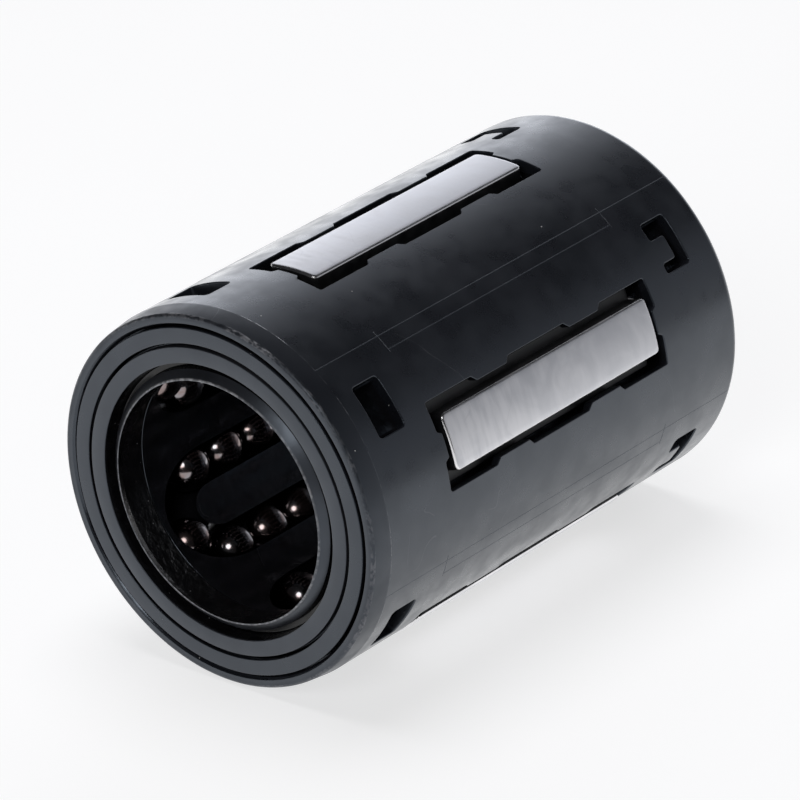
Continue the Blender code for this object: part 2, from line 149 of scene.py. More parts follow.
SEAL_RECESS_DEPTH = SEAL_SHOWN_DEPTH + 0.12 * MM
CAGE_BORE_RADIUS = SHAFT_RADIUS + 0.3 * MM
MOULD_EDGE = 0.05 * MM

# Seals
SEAL_FACE_RADIUS = SEAL_RIM_RADIUS - 0.09 * MM
SEAL_RIM_DEPTH = 0.35 * MM
SEAL_FLAT_INNER = SEAL_FACE_RADIUS - 0.81 * MM
SEAL_GROOVE_DEPTH = 0.9 * MM
SEAL_GROOVE_SLOPE = 0.05 * MM
SEAL_LIP_RADIUS = SHAFT_RADIUS + 0.03 * MM
SEAL_LIP_EDGE = 0.06 * MM
SEAL_LIP_WIDTH = 0.48 * MM
SEAL_LIP_FALL = 0.35 * MM
SEAL_LIP_DEPTH = 0.45 * MM
SEAL_THROAT_RADIUS = SHAFT_RADIUS + 0.25 * MM
SEAL_EDGE = 0.05 * MM

# Mould witness lines over each return row
WITNESS_HALF_LENGTH = 8.4 * MM
WITNESS_HALF_ANGLE = math.radians(2.4)
WITNESS_MIDDLE = math.radians(38.0)
WITNESS_TICK = math.radians(1.8)
WITNESS_WIDTH = 0.10 * MM
WITNESS_HEIGHT = 0.010 * MM
WITNESS_SINK = 0.01 * MM
WITNESS_STEP = math.radians(1)

# Rounded upper edges of the windows and pockets
EDGE_STEPS = 3
EDGE_TURN = math.radians(65)
EDGE_ROUND = 0.07 * MM
EDGE_SPACING = 0.4 * MM
CUT_TOP = HOUSING_RADIUS + 1.0 * MM

# Facets
CAGE_STEPS = 240
SEAL_STEPS = 180
CORNER_STEPS = 4
FILLET_STEPS = 8
TURN_STEPS = 20
TRACK_FLOOR_STEPS = 12
TRACK_ROOF_STEPS = 8
RACEWAY_STEPS = 10
CROWN_STEPS = 12
BALL_STEPS = 5

# Shading
SHARP_ANGLE = math.radians(28)
FLAT_TOLERANCE = 0.001
ROUND_TOLERANCE = 0.999
CHORD_TOLERANCE = 0.004 * MM
# A plate face that looks up less than the first gets dark steel and painted shade, and one that looks up
# less than the second gets the edges' painted highlight
PLATE_SIDE_FACING = 0.25
PLATE_TOP_FACING = 0.955

# Noise patterns
NOISE_LOW = 0.3
NOISE_MIDDLE = 0.5
NOISE_HIGH = 0.7
NOISE_TOP = 0.8
HAIRLINE_WANDER = 0.6
HAIRLINE_GAP_SCALE = 1.7
HAIRLINE_GAP_EDGE = 0.04

# Cage plastic
PLASTIC_IOR = 1.62
# Painted light: a blue tint on the reflections of the cage and seals
PLASTIC_BLUE_REFLECTION_TINT = (0.76, 0.86, 1.0, 1.0)
PLASTIC_COLOURS = ((0.008, 0.009, 0.012), (0.013, 0.014, 0.018))
SATIN_ROUGHNESS = (0.25, 0.38)
GRAIN_HEIGHT = 0.0016 * MM
RIPPLE_HEIGHT = 0.006 * MM
OILY_RADIUS = CAGE_RADIUS - 0.7 * MM
DRY_RADIUS = CAGE_RADIUS - 0.4 * MM
OILY_REACH = HALF_LENGTH - 0.12 * MM
DRY_REACH = HALF_LENGTH - 0.03 * MM
# Painted shade: the cage's inner surfaces a little darker
OILY_SHADED_COLOUR = (0.009, 0.009, 0.011)
OILY_ROUGHNESS = (0.10, 0.24)
OIL_HEIGHT = 0.02 * MM
SCRATCH_STRENGTH = 0.16
# Pale colour of scratches and of the front-end scuffs, which are partly a painted highlight
WORN_AND_HIGHLIGHT_COLOUR = (0.30, 0.30, 0.32)
DUST_COLOUR = (0.62, 0.60, 0.58)
DUST_STRENGTH = 0.75
DUST_DULLNESS = 0.4
DUST_HEIGHT = 0.02 * MM

# Wear and painted highlight at the cage's front end
WEAR_RADIUS_START = CAGE_RADIUS - 0.45 * MM
WEAR_RADIUS_END = CAGE_RADIUS - 0.35 * MM
TAPER_SCUFF_WIDTH = 0.06 * MM
CORNER_SCUFF_WIDTH = 0.12 * MM
SCUFF_STRETCH = (2.5, 1.0, 1.0)
SCUFF_AND_HIGHLIGHT_STRENGTH = 0.65
SCUFF_RELIEF = 0.5
END_BAND_FADE = 0.1 * MM
END_BAND_DULLNESS = 0.14

# Seal rubber
RUBBER_COLOURS = ((0.018, 0.019, 0.023), (0.028, 0.029, 0.034))
RUBBER_ROUGHNESS = (0.30, 0.40)
RUBBER_GRAIN_HEIGHT = 0.0015 * MM
# A ragged pale ring round each lip: partly wear, partly a painted highlight
FROST_DEPTH = 0.09 * MM
FROST_INNER = SEAL_LIP_RADIUS + 1.5 * SEAL_LIP_EDGE
FROST_OUTER = SEAL_LIP_RADIUS + 2.5 * SEAL_LIP_EDGE
FROST_AND_HIGHLIGHT_COLOUR = (0.55, 0.55, 0.57)
FROST_HEIGHT = 0.02 * MM
# Painted shade: the near-black colour of the seals' throats and lip grooves
THROAT_SHADE_COLOURS = ((0.005, 0.005, 0.006), (0.008, 0.008, 0.009))
THROAT_ROUGHNESS = (0.16, 0.30)
THROAT_GLOSS = 0.3
FILM_HEIGHT = 0.01 * MM
# Painted glints in the seals' throats
GLINT_COLOUR = (0.5, 0.5, 0.5)
GLINT_STRENGTH = 0.5
GREASE_TOWARDS = (0.0, 1.0, -1.0)
GREASE_START = 6.8 * MM
GREASE_END = 8.9 * MM
GREASE_HEIGHT = 0.09 * MM

# Steel
FINE_MARK_STRETCH = (1.0, 0.045, 0.045)
FINE_MARK_HEIGHT = 0.0002 * MM
WIDE_MARK_STRETCH = (1.0, 0.16, 0.16)
WIDE_MARK_HEIGHT = 0.0005 * MM
MARKS_FADE_END = 0.3 * PLATE_HALF_LENGTH
MARKS_LEFT = 0.25
# Painted light: how much brighter a plate is at its front end
FRONT_PAINTED_LIGHT = 0.25
PLATE_COLOURS = ((0.495, 0.50, 0.525), (0.65, 0.65, 0.67))
PLATE_ROUGHNESS = (0.42, 0.50)
WIPED_COLOUR = (0.42, 0.42, 0.44)
WIPED_STRENGTH = 0.25
# Blackened steel, which is also painted shade on the plates' upright sides
DARK_STEEL_AND_SHADE_COLOURS = ((0.008, 0.008, 0.009), (0.018, 0.018, 0.019))
DARK_STEEL_ROUGHNESS = (0.30, 0.45)
DARK_STEEL_HEIGHT = 0.006 * MM
# Painted highlight on the plates' rounded edges
HIGHLIGHT_STEEL_COLOURS = ((0.60, 0.60, 0.61), (0.74, 0.73, 0.74))
BRIGHT_STEEL_ROUGHNESS = (0.20, 0.34)
BRIGHT_STEEL_HEIGHT = 0.002 * MM
# Painted shade: the balls' colour darkened well below steel's
BALL_OIL_AND_SHADE_COLOURS = ((0.22, 0.21, 0.22), (0.20, 0.155, 0.15))
BALL_ROUGHNESS = (0.12, 0.19)
BALL_FILM_HEIGHT = 0.0008 * MM

# Light tent and lamps
BACK_TOWARDS = (0.85, 0.50, 0.05)
BACK_OUTER = 0.60
BACK_BRIGHT = 3.3
BACK_FALL = 2.8
FRONT_TOWARDS = (0.69, -0.72, 0.0)
FRONT_OUTER = 0.55
FRONT_INNER = 0.85
FRONT_LOW = math.radians(12)
FRONT_HIGH = math.radians(32)
FRONT_BRIGHT = 0.50
TENT_DARK = 0.025
TENT_COLOUR = (0.95, 0.97, 1.03, 1.0)
SEEN_WHITE = 0.98
OVERHEAD_PLACE = (0.03, 0.06, 0.40)
OVERHEAD_SIZE = 0.30
OVERHEAD_POWER = 0.8
SOFTBOX_PLACE = (-0.32, -0.13, 0.23)
SOFTBOX_SIZE = 0.16
SOFTBOX_POWER = 0.35

# Floor
FLOOR_SIZE = 1.2
FLOOR_COLOURS = ((0.45, 0.45, 0.46), (0.47, 0.47, 0.48))
FLOOR_ROUGHNESS = (0.85, 0.95)
FLOOR_GLOW = 0.67
FLOOR_GLOW_COLOUR = (1.0, 1.0, 1.0, 1.0)
FLOOR_GLOSS = 1.04
# Painted light and shade in the floor's reflections: dimmer far in front, brighter behind
FLOOR_FAR_TOWARDS = FRONT_TOWARDS
FLOOR_FAR_START = 40.0 * MM
FLOOR_FAR_END = 250.0 * MM
FLOOR_BACK_TOWARDS = (0.72, 0.69, 0.0)
FLOOR_BACK_START = 30.0 * MM
FLOOR_BACK_END = 90.0 * MM

# Camera, fitted to the photograph's outline and end rings
CAMERA_AIM = (-0.2888 * MM, 0.1833 * MM, -0.2195 * MM)
CAMERA_DISTANCE = 287.306 * MM
CAMERA_HEADING = math.radians(49.881)
CAMERA_TILT = math.radians(25.090)
CAMERA_ROLL = math.radians(-3.047)
CAMERA_LENS = 270.772
CAMERA_SENSOR = 36.0
CLIP_RATIO = 10


def circuit_turn(index):
    """Rotation that takes the shapes of the circuit at the top to another circuit's place."""
    return Matrix.Rotation(index * CIRCUIT_ANGLE, 4, "X")


def round_axis(x, radius, angle):
    """A point at a radius from the shaft's axis, turned from plate 1 towards its return row."""
    return Vector((x, -radius * math.sin(angle), radius * math.cos(angle)))


def rounded(corners, steps):
    """A closed outline of points, from (corner, fillet radius) pairs."""
    points = []
    for index, (corner, radius) in enumerate(corners):
        corner = Vector(corner)
        back = (Vector(corners[index - 1][0]) - corner).normalized()
        ahead = (Vector(corners[(index + 1) % len(corners)][0]) - corner).normalized()
        if radius == 0.0:
            points.append(corner)
            continue
        half = back.angle(ahead) / 2
        centre = corner + (back + ahead).normalized() * radius / math.sin(half)
        reach = radius / math.tan(half)
        start = corner + back * reach - centre
        end = corner + ahead * reach - centre
        for step in range(steps + 1):
            points.append(centre + start.slerp(end, step / steps).normalized() * radius)
    return points


def spaced(outline, spacing):
    """The same outline, with points added so that none is further than the spacing from the next."""
    points = []
    for index, point in enumerate(outline):
        after = outline[(index + 1) % len(outline)]
        pieces = max(1, math.ceil((after - point).length / spacing))
        points += [point.lerp(after, piece / pieces) for piece in range(pieces)]
    return points


def swollen(outline, margin):
    """A counterclockwise outline, pushed outwards by a margin."""
    points = []
    for index, point in enumerate(outline):
        back = (point - outline[index - 1]).normalized()
        ahead = (outline[(index + 1) % len(outline)] - point).normalized()
        sideways = Vector((back.y + ahead.y, -back.x - ahead.x))
        points.append(point + sideways * margin / (1 + back.dot(ahead)))
    return points


def skin(loops, closed):
    """Join a list of equal loops of points, with flat ends or as a closed ring."""
    shape = bmesh.new()
    rows = [[shape.verts.new(point) for point in loop] for loop in loops]
    pairs = list(zip(rows, rows[1:]))
    if closed:
        pairs.append((rows[-1], rows[0]))
    for near, far in pairs:
        for here in range(len(near)):
            after = (here + 1) % len(near)
            shape.faces.new((near[here], near[after], far[after], far[here]))
    if not closed:
        shape.faces.new(rows[0])
        shape.faces.new(rows[-1])
    bmesh.ops.recalc_face_normals(shape, faces=shape.faces)
    return shape


def lathe(outline, steps):
    """Turn a closed outline of (x, radius) points about the X axis."""
    loops = []
    for step in range(steps):
        angle = 2 * math.pi * step / steps
        loops.append([round_axis(x, radius, angle) for x, radius in outline])
    return skin(loops, closed=True)


def prism(outline, low, high):
    """An upright block with the outline of (x, y) corners."""
    levels = [[Vector((x, y, height)) for x, y in outline] for height in (low, high)]
    return skin(levels, closed=False)


def mesh_from(name, shape):
    """Turn a shape into a mesh, and let the shape go."""
    mesh = bpy.data.meshes.new(name)
    shape.to_mesh(mesh)
    shape.free()
    return mesh


def joined(name, shapes):
    """One mesh of several separate shapes."""
    whole = bmesh.new()
    for shape in shapes:
        part = mesh_from(name + "_part", shape)
        whole.from_mesh(part)
        bpy.data.meshes.remove(part)
    return mesh_from(name, whole)


def add_piece(name, mesh, material=None, place=None):
    """Put a mesh in the scene, at a place in the bearing's own axes."""
    piece = bpy.data.objects.new(name, mesh)
    bpy.context.scene.collection.objects.link(piece)
    if place is not None:
        piece.matrix_world = place
    if material is not None:
        mesh.materials.append(material)
    return piece


def smooth(mesh):
    """Shade a mesh as round, apart from its sharp corners."""
    mesh.shade_smooth()
    mesh.set_sharp_from_angle(angle=SHARP_ANGLE)


def keep_turned_normals(mesh):
    """Shade the cut cage's barrel and bore as the round surfaces that they were before the cuts."""
    normals = [corner.vector.copy() for corner in mesh.corner_normals]
    for face in mesh.polygons:
        if abs(face.normal.x) > FLAT_TOLERANCE:
            continue
        outward = Vector((0.0, face.center.y, face.center.z)).normalized()
        side = 1 if face.normal.dot(outward) > 0 else -1
        if side * face.normal.dot(outward) < ROUND_TOLERANCE:
            continue
        radius = CAGE_RADIUS if side > 0 else CAGE_BORE_RADIUS
        for corner in face.loop_indices:
            place = mesh.vertices[mesh.loops[corner].vertex_index].co
            straight_out = Vector((0.0, place.y, place.z))
            if abs(straight_out.length - radius) < CHORD_TOLERANCE:
                normals[corner] = side * straight_out.normalized()
    mesh.normals_split_custom_set(normals)


def carve(piece, cutters):
    """Cut groups of closed shapes out of a piece, one group after another."""
    tools = []
    for name, shapes in cutters.items():
        for shape in shapes:
            bmesh.ops.triangulate(shape, faces=shape.faces)
        tool = add_piece(name, joined(name, shapes))
        modifier = piece.modifiers.new(name, "BOOLEAN")
        modifier.operation = "DIFFERENCE"
        modifier.solver = "EXACT"
        modifier.object = tool
        tools.append(tool)
    bpy.context.view_layer.update()
    graph = bpy.context.evaluated_depsgraph_get()
    carved = bpy.data.meshes.new_from_object(piece.evaluated_get(graph))
    piece.modifiers.clear()
    piece.data = carved
    for tool in tools:
        bpy.data.objects.remove(tool, do_unlink=True)


def barrel_height(y):
    """How high the barrel's surface stands at a distance from its middle line."""
    return math.sqrt(CAGE_RADIUS**2 - y**2)


def opening_shape(outline, floor):
    """A cutter for an opening in the barrel, with a flat floor and a rounded upper edge."""
    outline = spaced(outline, EDGE_SPACING)
    loops = [[Vector((x, y, floor)) for x, y in outline]]
    rounding = []
    for step in range(EDGE_STEPS + 1):
        turn = EDGE_TURN * step / EDGE_STEPS
        rounding.append((EDGE_ROUND * (1 - math.cos(turn)), EDGE_ROUND * (1 - math.sin(turn))))
    # The last slope runs on in a straight line, out of the barrel
    margin, depth = rounding[-1]
    rounding.append((margin + EDGE_ROUND * math.sin(EDGE_TURN), depth - EDGE_ROUND * math.cos(EDGE_TURN)))
    for margin, depth in rounding:
        loop = swollen(outline, margin)
        loops.append([Vector((x, y, barrel_height(y) - depth)) for x, y in loop])
    loops.append([Vector((x, y, CUT_TOP)) for x, y in loop])
    return skin(loops, closed=False)


def window_outline():
    """The notched opening for a plate, with a tab at the middle of each end."""
    wide = WINDOW_WIDTH / 2
    narrow = WINDOW_NARROW_WIDTH / 2
    end = WINDOW_HALF_LENGTH
    side = [
        (NARROW_START, wide),
        (NARROW_START + NARROW_SLOPE, narrow),
        (NARROW_START + NARROW_LENGTH - NARROW_SLOPE, narrow),
        (NARROW_START + NARROW_LENGTH, wide),
        (end, wide),
    ]
    tab = [(end, END_TAB_WIDTH / 2), (end - END_TAB_LENGTH, END_TAB_WIDTH / 2 - END_TAB_LENGTH / 2)]
    quarter = side + tab
    first = quarter + [(x, -y) for x, y in reversed(quarter)]
    corners = first + [(-x, -y) for x, y in first]
    return rounded([(corner, WINDOW_CORNER) for corner in reversed(corners)], CORNER_STEPS)


def pocket_span():
    """Where a rear pocket starts and ends along the shaft, and half its width."""
    inner = HALF_LENGTH - POCKET_FROM_END - POCKET_LENGTH
    return inner, inner + POCKET_LENGTH, POCKET_WIDTH / 2


def pocket_outline():
    """The front pocket's outline, measured from its own middle line."""
    inner, outer, half = pocket_span()
    corners = [(-outer, -half), (-inner, -half), (-inner, half), (-outer, half)]
    return rounded([(corner, POCKET_CORNER) for corner in corners], CORNER_STEPS)


def hook_outline():
    """The rear pocket's outline, which goes round its lug."""
    inner, outer, half = pocket_span()
    lug_end = inner + LUG_LENGTH
    lug_near = -half + LUG_FROM_SIDE
    lug_far = lug_near + LUG_WIDTH
    corners = [
        ((inner, half), POCKET_CORNER),
        ((inner, lug_far), LUG_CORNER),
        ((lug_end, lug_far), LUG_CORNER),
        ((lug_end, lug_near), LUG_CORNER),
        ((inner, lug_near), LUG_CORNER),
        ((inner, -half), LUG_CORNER),
        ((outer, -half), POCKET_CORNER),
        ((outer, half), POCKET_CORNER),
    ]
    return rounded(corners, CORNER_STEPS)


def track_section(x, angle, heading):
    """The ball track's cross-section, square to the direction that the balls move in."""
    outward = round_axis(0.0, 1.0, angle)
    sideways = outward.cross(heading).normalized()
    section = []
    for centre, start, steps in (
        (LOADED_RADIUS, math.pi, TRACK_FLOOR_STEPS),
        (TRACK_ROOF_CENTRE, 0.0, TRACK_ROOF_STEPS),
    ):
        for step in range(steps + 1):
            turn = start + math.pi * step / steps
            height = centre + TRACK_HALF_WIDTH * math.sin(turn)
            offset = TRACK_HALF_WIDTH * math.cos(turn)
            section.append(Vector((x, 0.0, 0.0)) + outward * height + sideways * offset)
    return section


def track_shape():
    """The closed track of one circuit: a loaded run, a turn, a return run and a turn."""
    sections = []
    for end in (1, -1):
        for step in range(TURN_STEPS + 1):
            swing = end * math.pi * (step / TURN_STEPS - 0.5)
            across = math.atan(TURN_RADIUS * math.sin(swing) / TURN_HEIGHT)
            angle = RETURN_ANGLE / 2 + across
            x = end * (TRACK_HALF_LENGTH + TURN_RADIUS * math.cos(swing))
            round_track = round_axis(0.0, 1.0, angle + math.pi / 2)
            heading = Vector((-math.sin(swing), 0.0, 0.0)) + end * math.cos(swing) * round_track
            sections.append(track_section(x, angle, heading))
    return skin(sections, closed=True)


def cage_end(shoulder):
    """One end of the cage's outline, from its shoulder in to the bore: (x, radius) corners and fillets."""
    face = HALF_LENGTH
    groove_floor = face - FACE_GROOVE_DEPTH
    groove_slit = FACE_GROOVE_OUTER - FACE_GROOVE_SLOPE
    recess_floor = face - SEAL_RECESS_DEPTH
    return shoulder + [
        ((face, FACE_GROOVE_OUTER), MOULD_EDGE),
        ((face - FACE_GROOVE_SLOPE_DEPTH, groove_slit), 0.0),
        ((groove_floor, groove_slit), 0.0),
        ((groove_floor, FACE_GROOVE_INNER), 0.0),
        ((face, FACE_GROOVE_INNER), MOULD_EDGE),
        ((face, SEAL_RECESS_RADIUS), MOULD_EDGE),
        ((recess_floor, SEAL_RECESS_RADIUS), MOULD_EDGE),
        ((recess_floor, CAGE_BORE_RADIUS), MOULD_EDGE),
    ]


def cage_outline():
    """The cage's turned outline: its rear end is rolled over, and its front end tapers to a small corner."""
    rear = cage_end([((HALF_LENGTH, CAGE_RADIUS), REAR_FILLET)])
    front = cage_end([
        ((TAPER_START, CAGE_RADIUS), 0.0),
        ((HALF_LENGTH, CAGE_RADIUS - END_TAPER_DROP), END_FILLET),
    ])
    front = [((-x, radius), fillet) for (x, radius), fillet in reversed(front)]
    return rounded(rear + front, FILLET_STEPS)


def cage_cutters():
    """What is cut from the turned cage, in named groups of shapes that are cut one after another."""
    end = WINDOW_HALF_LENGTH + UNDERCUT_MARGIN
    side = WINDOW_WIDTH / 2 + UNDERCUT_MARGIN
    undercut = [(-end, -side), (end, -side), (end, side), (-end, side)]
    undercut_floor = PLATE_UNDERSIDE - WINDOW_FLOOR_GAP
    undercut_roof = FLANGE_TOP + FLANGE_HEADROOM
    pocket_floor = CAGE_RADIUS - POCKET_DEPTH
    cutters = {"undercuts": [], "windows": [], "tracks": [], "pockets": []}
    for index in range(CIRCUITS):
        turn = circuit_turn(index)
        pocket_turn = turn @ Matrix.Rotation(-POCKET_ANGLE, 4, "X")
        for name, shape, place in (
            ("undercuts", prism(undercut, undercut_floor, undercut_roof), turn),
            ("windows", opening_shape(window_outline(), FLANGE_TOP), turn),
            ("tracks", track_shape(), turn),
            ("pockets", opening_shape(pocket_outline(), pocket_floor), pocket_turn),
            ("pockets", opening_shape(hook_outline(), pocket_floor), pocket_turn),
        ):
            shape.transform(place)
            cutters[name].append(shape)
    return cutters


def make_cage(material):
    """The moulded sleeve: turned first, then cut."""
    cage = add_piece("moulded_cage", mesh_from("cage", lathe(cage_outline(), CAGE_STEPS)), material)
    carve(cage, cage_cutters())
    smooth(cage.data)
    keep_turned_normals(cage.data)
    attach(cage, "cage")
    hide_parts("cage_body")


def witness_strip(start, end):
    """A faint raised line on the barrel between two (x, angle) places."""
    start = Vector(start)
    end = Vector(end)
    along = Vector((end.x - start.x, (end.y - start.y) * CAGE_RADIUS)).normalized()
    across = Vector((-along.y, along.x / CAGE_RADIUS)) * WITNESS_WIDTH / 2
    low = CAGE_RADIUS - WITNESS_SINK
    high = CAGE_RADIUS + WITNESS_HEIGHT
    pieces = max(1, math.ceil(abs(end.y - start.y) / WITNESS_STEP))
    loops = []
    for piece in range(pieces + 1):
        middle = start.lerp(end, piece / pieces)
        sides = [(middle - across, low), (middle, high), (middle + across, low)]
        loops.append([round_axis(place.x, radius, place.y) for place, radius in sides])
    return skin(loops, closed=False)


def make_witness_lines(material):
    """The mould's parting line over each return row, which widens to a long rectangle."""
    near = WITNESS_MIDDLE - WITNESS_HALF_ANGLE
    far = WITNESS_MIDDLE + WITNESS_HALF_ANGLE
    x = WITNESS_HALF_LENGTH
    lines = [((-TAPER_START, near), (HALF_LENGTH - REAR_FILLET, near)), ((-x, far), (x, far))]
    for end in (-x, x):
        lines.append(((end, near - WITNESS_TICK), (end, far + WITNESS_TICK / 2)))
    strips = []
    for index in range(CIRCUITS):
        for start, end in lines:
            strip = witness_strip(start, end)
            strip.transform(circuit_turn(index))
            strips.append(strip)
    mesh = joined("witness_lines", strips)
    smooth(mesh)
    piece = add_piece("mould_witness_lines", mesh, material)
    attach(piece, "cage")


def seal_outline():
    """A seal's turned outline, as (depth below the end face, radius) corners with their fillets."""
    lip_foot = SEAL_LIP_RADIUS + SEAL_LIP_WIDTH
    return [
        ((0.0, SEAL_FACE_RADIUS), SEAL_EDGE),
        ((0.0, SEAL_FLAT_INNER), SEAL_EDGE),
        ((SEAL_GROOVE_DEPTH, SEAL_FLAT_INNER - SEAL_GROOVE_SLOPE), SEAL_EDGE),
        ((SEAL_GROOVE_DEPTH, lip_foot), SEAL_EDGE),
        ((SEAL_LIP_FALL, lip_foot), SEAL_EDGE),
        ((0.0, SEAL_LIP_RADIUS + SEAL_LIP_EDGE), SEAL_LIP_EDGE / 4),
        ((0.0, SEAL_LIP_RADIUS), SEAL_LIP_EDGE / 4),
        ((SEAL_LIP_DEPTH, SEAL_THROAT_RADIUS), SEAL_EDGE),
        ((SEAL_SHOWN_DEPTH, SEAL_THROAT_RADIUS), SEAL_EDGE / 2),
        ((SEAL_SHOWN_DEPTH, SEAL_RIM_RADIUS), SEAL_EDGE),
        ((SEAL_RIM_DEPTH, SEAL_RIM_RADIUS), SEAL_EDGE),
        ((SEAL_RIM_DEPTH, SEAL_FACE_RADIUS), SEAL_EDGE),
    ]


def shade_throat_and_groove(mesh, material):
    """Give a seal's throat and the groove round its lip the darker rubber, whose near-black colour is
    painted shade.
    """
    slot = len(mesh.materials)
    mesh.materials.append(material)
    for face in mesh.polygons:
        depth = HALF_LENGTH - abs(face.center.x)
        radius = face.center.yz.length
        in_throat = radius < SEAL_THROAT_RADIUS and depth > SEAL_LIP_EDGE / 2
        in_groove = radius < SEAL_FLAT_INNER and depth > SEAL_LIP_FALL
        if in_throat or in_groove:
            face.material_index = slot


def make_seals(rubber, shaded_throat_rubber):
    """The ring let into each end face."""
    outline = rounded(seal_outline(), CORNER_STEPS)
    for name, end in (("front", -1), ("rear", 1)):
        points = [Vector((end * (HALF_LENGTH - depth), radius)) for depth, radius in outline]
        mesh = mesh_from(name + "_seal_ring", lathe(points, SEAL_STEPS))
        smooth(mesh)
        seal = add_piece(name + "_seal_ring", mesh, rubber)
        shade_throat_and_groove(mesh, shaded_throat_rubber)
        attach(seal, "cage")
        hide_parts(name + "_seal")


def arc(centre, radius, start, end, steps):
    """Points of an arc round a centre on the vertical axis, as (across, height)."""
    points = []
    for step in range(steps + 1):
        angle = start + (end - start) * step / steps
        points.append(Vector((radius * math.cos(angle), centre + radius * math.sin(angle))))
    return points


def plate_section(x, half_width, drop):
    """A plate's cross-section at x, with its crown lowered by a drop where the end is rounded."""
    upright = math.pi / 2
    groove_radius = BALL_RADIUS + RACEWAY_CLEARANCE
    groove_reach = math.acos((PLATE_UNDERSIDE - LOADED_RADIUS) / groove_radius)
    groove = arc(LOADED_RADIUS, groove_radius, upright + groove_reach, upright - groove_reach, RACEWAY_STEPS)
    crown_reach = math.asin((half_width - PLATE_EDGE) / HOUSING_RADIUS)
    crown = arc(0.0, HOUSING_RADIUS, upright - crown_reach, upright + crown_reach, CROWN_STEPS)
    shoulder = crown[0].y - PLATE_EDGE
    flange_side = FLANGE_WIDTH / 2
    right = [
        Vector((flange_side, PLATE_UNDERSIDE)),
        Vector((flange_side, FLANGE_TOP - FLANGE_EDGE)),
        Vector((flange_side - FLANGE_EDGE, FLANGE_TOP)),
        Vector((half_width, FLANGE_TOP)),
    ]
    edge = arc(shoulder, PLATE_EDGE, -crown_reach, upright - crown_reach, CORNER_STEPS)
    lift = Vector((half_width - PLATE_EDGE, 0.0))
    right += [lift + point for point in edge[:-1]]
    left = [Vector((-point.x, point.y)) for point in reversed(right)]
    low = Vector((0.0, drop))
    outer = [point - low if point.y > FLANGE_TOP else point for point in right + crown + left]
    return [Vector((x, across, height)) for across, height in groove + outer]


def plate_stations():
    """Where a plate's sections stand near its +X end, as (x, half width, drop of the crown)."""
    stations = [(0.0, PLATE_WIDTH / 2, 0.0)]
    for step in range(2 * CORNER_STEPS + 1):
        angle = math.pi / 2 * step / (2 * CORNER_STEPS)
        x = PLATE_HALF_LENGTH - PLATE_CORNER * (1 - math.sin(angle))
        half_width = PLATE_WIDTH / 2 - PLATE_CORNER * (1 - math.cos(angle))
        into_edge = max(0.0, x - PLATE_HALF_LENGTH + PLATE_EDGE)
        drop = PLATE_EDGE - math.sqrt(max(0.0, PLATE_EDGE**2 - into_edge**2))
        stations.append((x, half_width, drop))
    return stations


def finish_plate_faces(mesh, ground_steel, dark_steel_and_shade, highlight_steel):
    """Ground steel on the crown, dark steel on the flanges and sides, partly as painted shade, and bright
    steel on the rounded edges as a painted highlight.
    """
    steels = [ground_steel, dark_steel_and_shade, highlight_steel]
    for steel in steels:
        mesh.materials.append(steel)
    for face in mesh.polygons:
        if face.center.z < FLANGE_TOP + FLANGE_EDGE / 2 or face.normal.z < PLATE_SIDE_FACING:
            face.material_index = steels.index(dark_steel_and_shade)
        elif face.normal.z < PLATE_TOP_FACING:
            face.material_index = steels.index(highlight_steel)


def make_plates(ground_steel, dark_steel_and_shade, highlight_steel):
    """The five bearing plates, which share a mesh."""
    stations = plate_stations()
    near = [plate_section(-x, half_width, drop) for x, half_width, drop in reversed(stations[1:])]
    far = [plate_section(x, half_width, drop) for x, half_width, drop in stations]
    mesh = mesh_from("steel_plate", skin(near + far, closed=False))
    smooth(mesh)
    finish_plate_faces(mesh, ground_steel, dark_steel_and_shade, highlight_steel)
    for index in range(CIRCUITS):
        number = index + 1
        plate = add_piece(f"steel_plate_{number}", mesh, place=circuit_turn(index))
        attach(plate, f"plate_{number}")
        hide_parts(f"bearing_plate_{number}")


def balls_shape(centres):
    """One ball at each centre."""
    shape = bmesh.new()
    for centre in centres:
        bmesh.ops.create_icosphere(
            shape, subdivisions=BALL_STEPS, radius=BALL_RADIUS, matrix=Matrix.Translation(centre)
        )
    return shape


def add_balls(name, centres, material, place, body, node):
    """Add balls that move together as one piece."""
    mesh = mesh_from(name, balls_shape(centres))
    mesh.shade_smooth()
    piece = add_piece(name, mesh, material, place)
    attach(piece, body)
    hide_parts(node)


def round_turn(angle):
    """A place on a front turn, from the turn's centre, at an angle from its outermost point."""
    across = math.atan(TURN_RADIUS * math.sin(angle) / TURN_HEIGHT)
    height = TURN_HEIGHT * math.cos(across) - TURN_HEIGHT
    return Vector((-TURN_RADIUS * math.cos(angle), -TURN_HEIGHT * math.sin(across), height))


